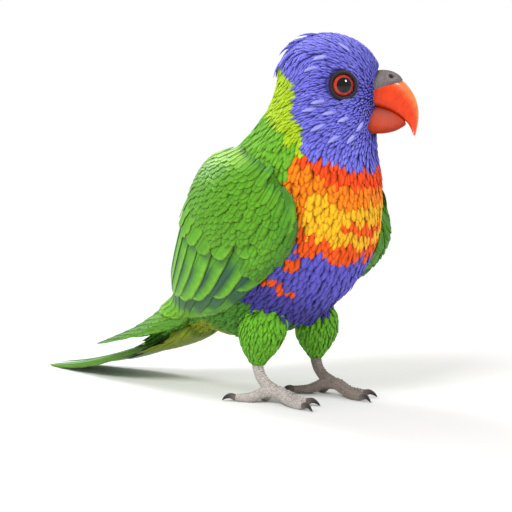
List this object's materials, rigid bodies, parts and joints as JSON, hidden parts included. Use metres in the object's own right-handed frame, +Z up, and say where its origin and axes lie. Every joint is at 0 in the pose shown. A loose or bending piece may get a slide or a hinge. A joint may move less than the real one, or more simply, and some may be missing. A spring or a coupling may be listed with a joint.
{
  "type": "rainbow lorikeet",
  "caption": "Life-size still model of a rainbow lorikeet, standing alert on both feet with folded wings, its head turned to its left and its tail resting on the floor.",
  "frame": {"origin": "middle of the bounding box's bottom, on the floor that the feet and the tail tip rest on", "axes": "+Z up, +X the way the breast faces, -Y the bird's right side"},
  "size_m": [0.2098, 0.0928, 0.169],
  "materials": {
    "blue_feathers": "soft blue-violet contour feathers",
    "green_feathers": "soft green flight and contour feathers",
    "breast_feathers": "soft orange, yellow and blue-violet contour feathers",
    "bill_horn": "smooth orange-red horn with a satin shine",
    "cere_skin": "bare grey skin",
    "eye": "wet gloss, red iris round a black pupil",
    "foot_skin": "scaly light grey skin",
    "claw_horn": "dark grey horn"
  },
  "bodies": {
    "root": {"bill_lower": "bill_horn", "bill_upper": "bill_horn", "cere": "cere_skin", "claw_left_1": "claw_horn", "claw_left_2": "claw_horn", "claw_left_3": "claw_horn", "claw_left_4": "claw_horn", "claw_right_1": "claw_horn", "claw_right_2": "claw_horn", "claw_right_3": "claw_horn", "claw_right_4": "claw_horn", "eye_left": "eye", "eye_right": "eye", "foot_left": "foot_skin", "foot_right": "foot_skin", "head": "blue_feathers", "neck": "blue_feathers", "tail": "green_feathers", "thigh_left": "green_feathers", "thigh_right": "green_feathers", "torso": "breast_feathers", "wing_left": "green_feathers", "wing_right": "green_feathers"}
  },
  "joints": []
}
